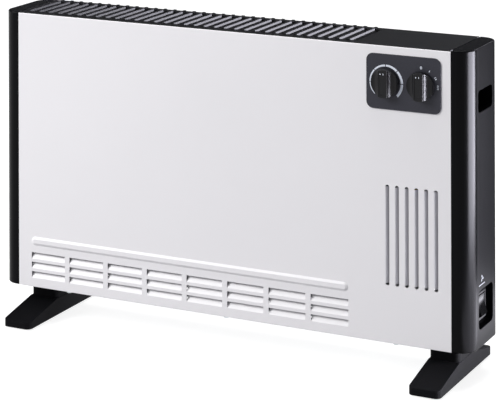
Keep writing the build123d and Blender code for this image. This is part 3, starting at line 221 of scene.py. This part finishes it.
# The front and rear sheets: 0.8 mm mild steel, pressed, folded and then powder-coated white. The coat
# has the faint orange peel of powder that has flowed out, and a satin sheen.
def noise(material, place, scale, detail=2.0):
    """A noise whose grains are about a third of a metre, divided by the scale."""
    settings = {"Scale": scale, "Detail": detail}
    return add_node(material, "ShaderNodeTexNoise", settings, {"Vector": place}).outputs["Fac"]


def bump(material, height, strength, rise):
    """Relief of a strength whose full height is a rise in metres."""
    settings = {"Strength": strength, "Distance": rise}
    return add_node(material, "ShaderNodeBump", settings, {"Height": height}).outputs[0]


def mottle(material, scale, first, last, detail=2.0, sheen=None, relief=None):
    """Mottles a finish between two hex colours, and gives back the place that its noise goes by.

    The same noise also sets the roughness where sheen gives two ends of it, and a bump where relief
    gives a strength and a rise.
    """
    place = add_node(material, "ShaderNodeTexCoord").outputs["Object"]
    cloud = noise(material, place, scale, detail)
    feed(material, "Base Color", tint(material, first, last, cloud))
    if sheen:
        feed(material, "Roughness", ramp(material, cloud, 0.0, 1.0, *sheen))
    if relief:
        feed(material, "Normal", bump(material, cloud, *relief))
    return place


def axis_of(material, place, axis):
    """One coordinate of a place, in metres."""
    return add_node(material, "ShaderNodeSeparateXYZ", {}, {0: place}).outputs[axis]


def fed(material, key):
    """The socket that is linked to an input of the material's surface."""
    return material.node_tree.nodes["Principled BSDF"].inputs[key].links[0].from_socket


def dress(material, *names):
    """Gives CAD nodes a finish."""
    for name in names:
        slots = nodes[name].data.materials
        for i in range(len(slots)):
            slots[i] = material
        if not slots:
            slots.append(material)


powder_coat = finish("white_powder_coat", {"IOR": 1.5, "Specular IOR Level": 0.4})
coat_place = mottle(powder_coat, 5.0, "E7E5E7", "ECEAEC", detail=3.0)
# Orange peel is 1 to 2 mm across; drawn at 3 mm so that it shows.
peel = noise(powder_coat, coat_place, 330.0)
feed(powder_coat, "Roughness", ramp(powder_coat, peel, 0.0, 1.0, 0.36, 0.46))
feed(powder_coat, "Normal", bump(powder_coat, peel, 0.12, 0.0002))
# Painted shade inside the narrow upright slots (front sheet, x over 170 mm): the coat's colour is greyed
# there from 0.3 mm below the face, and wholly so from 0.9 mm, where shade falls in the pressed slots.
slot_shade_start, slot_shade_end = -0.0462, -0.0456
sheet_back, slots_left = -0.03, 0.17
coat_depth = axis_of(powder_coat, coat_place, "Y")
below_face = ramp(powder_coat, coat_depth, slot_shade_start, slot_shade_end, 0.0, 1.0)
in_front = maths(powder_coat, "LESS_THAN", coat_depth, sheet_back)
by_slots = maths(powder_coat, "GREATER_THAN", axis_of(powder_coat, coat_place, "X"), slots_left)
in_slots = maths(powder_coat, "MULTIPLY", in_front, by_slots)
painted_slot_shade = maths(powder_coat, "MULTIPLY", in_slots, below_face)
unshaded_coat = fed(powder_coat, "Base Color")
# The coat's own colour is mixed towards a painted-shade grey in the slots.
feed(powder_coat, "Base Color", tint(powder_coat, unshaded_coat, "C3C1C7", painted_slot_shade))
dress(powder_coat, "front_panel", "rear_panel")


# The end caps: polypropylene, injection-moulded in a spark-eroded tool, black and semi-gloss. They slip
# over the ends of the body and are screwed on from inside; each has a recess for the fingers.
black_moulding = finish("black_moulded_polypropylene", {"IOR": 1.49, "Specular IOR Level": 0.05})
cap_place = mottle(black_moulding, 14.0, "060608", "0A0A0D")
# The tool's grain is about 0.3 mm; drawn at 1 mm so that it shows.
cap_grain = noise(black_moulding, cap_place, 1000.0, 3.0)
# The tool is spark-eroded matt on the flat sides, 300 mm out, and polished round the corners, which start
# 27.5 mm from the middle.
corner_start, side_start = 0.0275, 0.2988
cap_depth = maths(black_moulding, "ABSOLUTE", axis_of(black_moulding, cap_place, "Y"), 0.0)
cap_reach = maths(black_moulding, "ABSOLUTE", axis_of(black_moulding, cap_place, "X"), 0.0)
cap_flat = maths(black_moulding, "LESS_THAN", cap_depth, corner_start)
cap_outside = maths(black_moulding, "GREATER_THAN", cap_reach, side_start)
cap_matt = maths(black_moulding, "MULTIPLY", cap_flat, cap_outside)
cap_roughness = ramp(black_moulding, cap_matt, 0.0, 1.0, 0.2, 0.36)
cap_unevenness = maths(black_moulding, "MULTIPLY", cap_grain, 0.08)
feed(black_moulding, "Roughness", maths(black_moulding, "ADD", cap_roughness, cap_unevenness))
feed(black_moulding, "Normal", bump(black_moulding, cap_grain, 0.1, 0.0001))
dress(black_moulding, "right_end_cap", "left_end_cap")

# Pad-printed signs on the right-hand cap, over the fan switch: a fan sign above a plain rule. The ink
# stands 0.06 mm high, a third of that inside the moulding.
print_ink = finish("pale_printing_ink", {"Roughness": 0.5})
# Ink on a grained moulding breaks up a little, in specks of half a millimetre.
mottle(print_ink, 2000.0, "D2D8E4", "E2E7F1")
ink_build = 0.00006
ink_root = ink_build / 3


def piece(name, shape, material, body):
    """Makes an object of a bmesh, with faces turned outwards, and lets it ride on a body."""
    bmesh.ops.recalc_face_normals(shape, faces=shape.faces)
    mesh = bpy.data.meshes.new(name)
    shape.to_mesh(mesh)
    shape.free()
    made = bpy.data.objects.new(name, mesh)
    mesh.materials.append(material)
    bpy.context.scene.collection.objects.link(made)
    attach(made, body)
    return made


def build_up(shape, faces, step):
    """Thickens flat faces by extruding them by a step."""
    grown = bmesh.ops.extrude_face_region(shape, geom=faces)
    verts = [item for item in grown["geom"] if isinstance(item, bmesh.types.BMVert)]
    bmesh.ops.translate(shape, verts=verts, vec=step)


def add_bar(shape, width, length):
    """Adds a flat bar at the origin, its width along X, and gives back its corners."""
    verts = bmesh.ops.create_grid(shape, x_segments=1, y_segments=1, size=0.5)["verts"]
    bmesh.ops.scale(shape, verts=verts, vec=(width, length, 1))
    return verts


cap_side = 0.3
facing_right = Matrix.Rotation(pi / 2, 4, "Y")
sign_y, sign_height = -0.0115, 0.1160
lobe_width, lobe_length = 0.00115, 0.00175
lobe_aside, lobe_out = 0.0005, 0.0023
hub_radius = 0.0006
fan_sign = bmesh.new()
for turn in (0, 120, 240):
    lobe = bmesh.ops.create_circle(fan_sign, cap_ends=True, segments=16, radius=1)["verts"]
    bmesh.ops.scale(fan_sign, verts=lobe, vec=(lobe_width, lobe_length, 1))
    bmesh.ops.translate(fan_sign, verts=lobe, vec=(lobe_aside, lobe_out, 0))
    lobe_turn = Matrix.Rotation(radians(turn), 3, "Z")
    bmesh.ops.rotate(fan_sign, verts=lobe, cent=(0, 0, 0), matrix=lobe_turn)
bmesh.ops.create_circle(fan_sign, cap_ends=True, segments=12, radius=hub_radius)
sign_place = Matrix.Translation((cap_side - ink_root, sign_y, sign_height))
bmesh.ops.transform(fan_sign, matrix=sign_place @ facing_right, verts=fan_sign.verts)
build_up(fan_sign, fan_sign.faces[:], (ink_build, 0, 0))
piece("fan_sign", fan_sign, print_ink, "housing")

rule_width, rule_length = 0.0009, 0.0185
rule_y, rule_height = -0.01225, 0.1096
rule_sign = bmesh.new()
add_bar(rule_sign, rule_width, rule_length)
rule_place = Matrix.Translation((cap_side - ink_root, rule_y, rule_height))
bmesh.ops.transform(rule_sign, matrix=rule_place @ facing_right, verts=rule_sign.verts)
build_up(rule_sign, rule_sign.faces[:], (ink_build, 0, 0))
piece("rule_sign", rule_sign, print_ink, "housing")


# The top grille: one black moulding whose blades lean to the left over the heating chamber, with a solid
# plate over the controls. It is made in heat-stabilised polyamide, more satin than the caps.
black_polyamide = finish("black_moulded_polyamide", {"IOR": 1.53, "Specular IOR Level": 0.25})
grille_place = mottle(
    black_polyamide, 900.0, "0D0D0F", "141417", detail=3.0, sheen=(0.28, 0.36), relief=(0.15, 0.0001)
)
# The tool is polished where the blades show, down to 1.5 mm under their tops, and matt further down.
matt_below, polished_above = 0.3680, 0.3685
grille_height = axis_of(black_polyamide, grille_place, "Z")
grille_matt = ramp(black_polyamide, grille_height, matt_below, polished_above, 1.0, 0.0)
grille_sheen = fed(black_polyamide, "Roughness")
feed(black_polyamide, "Roughness", maths(black_polyamide, "MAXIMUM", grille_sheen, grille_matt))
dress(black_polyamide, "top_grille")


# The control fascia: a black ABS plate with rounded corners, spark-grained to a satin face, and printed
# with a heat scale that widens clockwise round the thermostat and marks 0 to III round the selector.
satin_abs = finish("satin_black_abs", {"IOR": 1.54, "Specular IOR Level": 0.25, "Roughness": 0.5})
# Grain of 0.5 mm, drawn at 1 mm.
mottle(satin_abs, 1000.0, "25252D", "2D2D36", relief=(0.2, 0.0001))
dress(satin_abs, "control_panel")

fascia_face = -0.0477
dial_height = 0.328
thermostat_x, selector_x = 0.2012, 0.2432
scale_radius = 0.0179
scale_start, scale_end = -135, 135
scale_thin, scale_thick = 0.0008, 0.0029
scale_gap = 1.3
arc_steps = 12
# It has its full width from four fifths of its length on.
scale_growth = 1.25


def scale_width(angle):
    """Width of the heat scale at an angle clockwise from the top, in degrees."""
    share = (angle - scale_start) / (scale_end - scale_start)
    return scale_thin + (scale_thick - scale_thin) * min(1, share * scale_growth)


heat_scale = bmesh.new()
stops = [scale_start, -90, -45, 0, 45, 90, scale_end]
for first, last in zip(stops, stops[1:]):
    first += scale_gap if first != scale_start else 0
    last -= scale_gap if last != scale_end else 0
    inner = heat_scale.verts.new((0, 0, scale_radius))
    outer = heat_scale.verts.new((0, 0, scale_radius + scale_thick))
    strip = [inner, outer, heat_scale.edges.new((inner, outer))]
    arc_start = Matrix.Rotation(radians(first), 3, "Y")
    bmesh.ops.rotate(heat_scale, verts=[inner, outer], cent=(0, 0, 0), matrix=arc_start)
    arc = {"axis": (0, 1, 0), "angle": radians(last - first), "steps": arc_steps}
    bmesh.ops.spin(heat_scale, geom=strip, cent=(0, 0, 0), **arc)
for vert in heat_scale.verts:
    reach = vert.co.length
    if reach > scale_radius + scale_thick / 2:
        from_top = Vector((0, 1)).angle_signed(Vector((vert.co.x, vert.co.z)))
        vert.co *= (scale_radius + scale_width(from_top * 180 / pi)) / reach
thermostat_place = (thermostat_x, fascia_face + ink_root, dial_height)
bmesh.ops.translate(heat_scale, verts=heat_scale.verts, vec=thermostat_place)
build_up(heat_scale, heat_scale.faces[:], (0, -ink_build, 0))
piece("heat_scale", heat_scale, print_ink, "housing")

mark_radius = 0.0196
stroke_width, stroke_length, stroke_pitch = 0.0008, 0.0022, 0.0019
nought_width, nought_height, nought_rise = 0.0012, 0.0017, 0.0004
facing_front = Matrix.Rotation(pi / 2, 3, "X")
selector_marks = bmesh.new()
for strokes, angle in ((1, 30), (2, 60), (3, 90)):
    for i in range(strokes):
        stroke = add_bar(selector_marks, stroke_width, stroke_length)
        sideways = (i - (strokes - 1) / 2) * stroke_pitch
        bmesh.ops.translate(selector_marks, verts=stroke, vec=(sideways, mark_radius, 0))
        upright = Matrix.Rotation(radians(angle), 3, "Y") @ facing_front
        bmesh.ops.rotate(selector_marks, verts=stroke, cent=(0, 0, 0), matrix=upright)
for radius in (1.0, 0.5):
    bmesh.ops.create_circle(selector_marks, segments=20, radius=radius)
nought = [vert for vert in selector_marks.verts if vert.is_wire]
bmesh.ops.bridge_loops(selector_marks, edges=[edge for edge in selector_marks.edges if edge.is_wire])
bmesh.ops.scale(selector_marks, verts=nought, vec=(nought_width, nought_height, 1))
bmesh.ops.translate(selector_marks, verts=nought, vec=(0, mark_radius + nought_rise, 0))
bmesh.ops.rotate(selector_marks, verts=nought, cent=(0, 0, 0), matrix=facing_front)
selector_middle = (selector_x, fascia_face + ink_root, dial_height)
bmesh.ops.translate(selector_marks, verts=selector_marks.verts, vec=selector_middle)
build_up(selector_marks, selector_marks.faces[:], (0, -ink_build, 0))
piece("selector_marks", selector_marks, print_ink, "housing")


# The two knobs: black ABS moulded in a polished tool, glossier than the fascia, each pressed on the flat
# of its spindle. A small pale dot and a bar are printed at the pointing end of the grip, in its recess.
knob_abs = finish("glossy_black_abs", {"IOR": 1.54, "Specular IOR Level": 0.17})
mottle(knob_abs, 220.0, "0E0E10", "161619", detail=3.0, sheen=(0.32, 0.4))
dress(knob_abs, "thermostat_knob", "selector_knob")

knob_face = -0.0568
dot_radius, dot_x = 0.0007, -0.0027
bar_width, bar_length, bar_x = 0.0007, 0.0020, 0.0008
pointer_height = 0.0108
for dial, dial_x, body in (
    ("thermostat", thermostat_x, "thermostat_dial"),
    ("selector", selector_x, "selector_dial"),
):
    pointer = bmesh.new()
    dot = bmesh.ops.create_circle(pointer, cap_ends=True, segments=16, radius=dot_radius)["verts"]
    bmesh.ops.translate(pointer, verts=dot, vec=(dot_x, pointer_height, 0))
    bar = add_bar(pointer, bar_width, bar_length)
    bmesh.ops.translate(pointer, verts=bar, vec=(bar_x, pointer_height, 0))
    bmesh.ops.rotate(pointer, verts=pointer.verts, cent=(0, 0, 0), matrix=facing_front)
    bmesh.ops.translate(pointer, verts=pointer.verts, vec=(dial_x, knob_face + ink_root, dial_height))
    build_up(pointer, pointer.faces[:], (0, -ink_build, 0))
    piece(dial + "_pointer", pointer, print_ink, body)


# The fan switch: a rocker in its own snap-in housing on the floor of the right-hand recess, both of
# black polyamide, the rocker polished by its tool. The tin-plated tags are inside the heater.
def tin_tags(material, place, axis, side, limit):
    """Tin-plates what lies on one side of a limit on an axis, and leaves the rest its colour."""
    tag = maths(material, side, axis_of(material, place, axis), limit)
    feed(material, "Base Color", tint(material, fed(material, "Base Color"), "B9B8B2", tag))
    feed(material, "Metallic", tag)


switch_polyamide = finish(
    "black_switch_polyamide", {"IOR": 1.53, "Roughness": 0.35, "Specular IOR Level": 0.12}
)
switch_place = mottle(switch_polyamide, 300.0, "0D0D0F", "151517")
# The housing ends 22 mm behind the recess floor, at x = 271 mm; what stands out further is tag.
tin_tags(switch_polyamide, switch_place, "X", "LESS_THAN", 0.27095)
dress(switch_polyamide, "turbo_switch")

rocker_gloss = finish("polished_black_polyamide", {"IOR": 1.53, "Specular IOR Level": 0.08})
mottle(rocker_gloss, 250.0, "101012", "19191C", sheen=(0.15, 0.24))
dress(rocker_gloss, "turbo_rocker")


# The feet: black polypropylene mouldings, hollow from below, each held by two screws up through its neck.
# Their grain is coarser than the caps', and quite matt.
foot_moulding = finish("grained_black_polypropylene", {"IOR": 1.49, "Specular IOR Level": 0.06})
# Grain of 0.5 mm, drawn at 1.2 mm.
mottle(foot_moulding, 830.0, "09090B", "0F0F12", detail=3.0, sheen=(0.62, 0.76), relief=(0.25, 0.0001))
dress(foot_moulding, "right_foot", "left_foot")


# The pads under the toes: black rubber, matt and a little dusty.
pad_rubber = finish("black_rubber", {"IOR": 1.52, "Roughness": 0.85, "Specular IOR Level": 0.3})
mottle(pad_rubber, 400.0, "1A1A1A", "2C2B2A", detail=4.0)
dress(pad_rubber, "foot_pads")


# The tray and the inner walls, shield and brackets: hot-dip galvanised sheet. Zinc freezes in flat
# crystals of 5 to 10 mm, each a slightly different grey, with a soft metallic sheen.
galvanised = finish("galvanised_sheet", {"Metallic": 1.0})
zinc_place = add_node(galvanised, "ShaderNodeTexCoord").outputs["Object"]
crystals = {"Scale": 130.0, "Randomness": 1.0}
spangle = add_node(galvanised, "ShaderNodeTexVoronoi", crystals, {"Vector": zinc_place})
spangle_tone = add_node(galvanised, "ShaderNodeSeparateColor", {}, {0: spangle.outputs["Color"]})
feed(galvanised, "Base Color", tint(galvanised, "A3A7A9", "C6CACB", spangle_tone.outputs[0]))
feed(galvanised, "Roughness", ramp(galvanised, spangle_tone.outputs[1], 0.0, 1.0, 0.32, 0.5))
dress(galvanised, "base_tray", "left_wall", "partition", "heat_shield")
dress(galvanised, "control_bracket", "cutout_bracket", "motor_bracket")


# The heating elements: extruded aluminium bodies pressed on steel-sheathed rods. The die leaves fine
# lines along the extrusion, and the rods are dark green-grey from annealing.
extruded_aluminium = finish("extruded_aluminium", {"Metallic": 1.0})
fin_place = add_node(extruded_aluminium, "ShaderNodeTexCoord").outputs["Object"]
fin_stretch = add_node(
    extruded_aluminium, "ShaderNodeMapping", {"Scale": (4.0, 900.0, 900.0)}, {0: fin_place}
)
die_lines = noise(extruded_aluminium, fin_stretch.outputs[0], 1.0)
feed(extruded_aluminium, "Base Color", tint(extruded_aluminium, "BFC1C3", "D6D8D9", die_lines))
feed(extruded_aluminium, "Roughness", ramp(extruded_aluminium, die_lines, 0.0, 1.0, 0.3, 0.45))
dress(extruded_aluminium, "lower_element_fins", "upper_element_fins")

sheath_steel = finish("annealed_steel_sheath", {"Metallic": 1.0, "Roughness": 0.42})
mottle(sheath_steel, 120.0, "585A55", "86877F", detail=4.0)
dress(sheath_steel, "element_rods")


# Steatite insulators and the thermostat's body: a pressed and fired ceramic, cream, matt and slightly
# mottled. The thermostat's tags behind the body are tin-plated.
steatite = finish("fired_steatite", {"IOR": 1.6, "Roughness": 0.6, "Specular IOR Level": 0.4})
mottle(steatite, 350.0, "DAD3C4", "ECE7DB", detail=4.0)
dress(steatite, "element_bushes")

thermostat_body = finish("steatite_with_tinned_tags", {"IOR": 1.6, "Roughness": 0.5})
body_place = mottle(thermostat_body, 350.0, "D6CFC0", "E8E2D5", detail=4.0)
# The housing ends at y = -20.5 mm, 19 mm behind the bracket.
tin_tags(thermostat_body, body_place, "Y", "GREATER_THAN", -0.02045)
dress(thermostat_body, "thermostat")


# The selector switch and the overheat cut-out: dark brown phenolic resin with a faint flow pattern. The
# switch's tags are tin-plated.
selector_body = finish("phenolic_with_tinned_tags", {"IOR": 1.6, "Roughness": 0.45})
selector_place = mottle(selector_body, 90.0, "231A14", "3A2C22", detail=5.0)
# The housing ends at y = -12.5 mm, 27 mm behind the bracket.
tin_tags(selector_body, selector_place, "Y", "GREATER_THAN", -0.01245)
dress(selector_body, "selector_switch")

phenolic = finish("brown_phenolic_resin", {"IOR": 1.6, "Roughness": 0.45})
mottle(phenolic, 90.0, "231A14", "3A2C22", detail=5.0)
dress(phenolic, "thermal_cutout")


# The dial spindles and the fan's shaft: free-cutting steel, turned and ground bright.
turned_steel = finish("turned_bright_steel", {"Metallic": 1.0, "Roughness": 0.25})
mottle(turned_steel, 1500.0, "A9AAAC", "C9CACC")
dress(turned_steel, "thermostat_shaft", "selector_shaft", "fan_shaft")


# The fan: its shroud and impeller are moulded in dark grey glass-filled polyester, whose fibres give a
# slightly silky, cloudy surface.
glass_filled = finish("dark_glass_filled_polyester", {"IOR": 1.57, "Specular IOR Level": 0.45})
mottle(glass_filled, 160.0, "2B2C2E", "3B3C3F", detail=5.0, sheen=(0.4, 0.55))
dress(glass_filled, "fan_shroud", "fan_impeller")


# The motor: a stack of blued sheet-steel laminations, a coil wrapped in yellow polyester tape, and
# die-cast zinc end brackets that hold the bearings.
def banded(material, settings, first, last, relief):
    """Bands a finish between two hex colours by a wave texture with these settings, in relief."""
    place = add_node(material, "ShaderNodeTexCoord").outputs["Object"]
    bands = add_node(material, "ShaderNodeTexWave", settings, {"Vector": place}).outputs["Fac"]
    feed(material, "Base Color", tint(material, first, last, bands))
    feed(material, "Normal", bump(material, bands, *relief))


laminations = finish("stacked_electrical_steel", {"Metallic": 1.0, "Roughness": 0.5})
# Sheets of 0.5 mm, drawn at 1 mm.
sheet_bands = {"bands_direction": "X", "Scale": 160.0}
banded(laminations, sheet_bands, "4A4D54", "7B7F86", (0.4, 0.0002))
dress(laminations, "motor_core")

coil_tape = finish("yellow_polyester_tape", {"IOR": 1.6, "Roughness": 0.3})
# The tape is 8 mm wide, wound on with a half lap, so an edge shows every 4 mm along the leg.
tape_laps = {"bands_direction": "Z", "wave_profile": "SAW", "Scale": 40.0}
banded(coil_tape, tape_laps, "C79A1E", "E0B93A", (0.4, 0.0003))
dress(coil_tape, "motor_coil")

die_cast = finish("die_cast_zinc", {"Metallic": 1.0, "Roughness": 0.48})
mottle(die_cast, 500.0, "8F9194", "B2B4B6", detail=4.0, relief=(0.2, 0.0001))
dress(die_cast, "motor_bearings")


# The terminal block and the cord gland: uncoloured polyamide, which is milky and lets a little light in,
# and the feet's black polypropylene.
natural_polyamide = finish(
    "uncoloured_polyamide",
    {"IOR": 1.53, "Roughness": 0.42, "Subsurface Weight": 0.15, "Subsurface Scale": 0.002},
)
mottle(natural_polyamide, 120.0, "DDD9CE", "EBE8E0")
dress(natural_polyamide, "terminal_block")
dress(foot_moulding, "cord_gland")


# The screws: pan-head steel screws, zinc-plated bright, with a cross recess in each head. The recesses
# are shown as a dark cross on the face of each head, found as the flat disc over 2 mm in radius.
zinc_plate = finish("bright_zinc_plating", {"Metallic": 1.0, "Roughness": 0.28})
mottle(zinc_plate, 300.0, "AFB5BA", "CBD0D2", detail=3.0)
screw_nodes = (
    "foot_screws",
    "base_screws",
    "rear_screws",
    "cap_screws",
    "bracket_screws",
    "control_screws",
    "motor_screws",
    "wall_screws",
)
dress(zinc_plate, *screw_nodes)

recess_shade = finish("shaded_cross_recess", {"Roughness": 0.7, "Specular IOR Level": 0.2})
mottle(recess_shade, 600.0, "1E2022", "2C2E31")
least_radius, least_roundness = 0.002, 0.9
# A cross's length and the width of its arms are shares of its head's radius.
cross_length, cross_arm, cross_thickness = 1.24, 0.34, 0.00008


def head_discs(node):
    """Middle, outward direction and radius of every screw head's flat face in a node."""
    shape = bmesh.new()
    shape.from_mesh(node.data)
    bmesh.ops.remove_doubles(shape, verts=shape.verts, dist=1e-7)
    bmesh.ops.dissolve_limit(shape, angle_limit=radians(0.5), verts=shape.verts, edges=shape.edges)
    found = []
    for face in shape.faces:
        middle = face.calc_center_median()
        reaches = [(vert.co - middle).length for vert in face.verts]
        if min(reaches) > least_roundness * max(reaches) and max(reaches) > least_radius:
            found.append((middle, face.normal.copy(), max(reaches)))
    shape.free()
    return found


for node_name in screw_nodes:
    crosses = bmesh.new()
    for middle, way, radius in head_discs(nodes[node_name]):
        facing_out = Matrix.Translation(middle) @ way.to_track_quat("Z", "Y").to_matrix().to_4x4()
        for width, length in ((cross_length, cross_arm), (cross_arm, cross_length)):
            arm = bmesh.ops.create_cube(crosses, size=1)["verts"]
            bmesh.ops.scale(crosses, verts=arm, vec=(radius * width, radius * length, cross_thickness))
            bmesh.ops.transform(crosses, matrix=facing_out, verts=arm)
    piece(node_name + "_recesses", crosses, recess_shade, "housing")
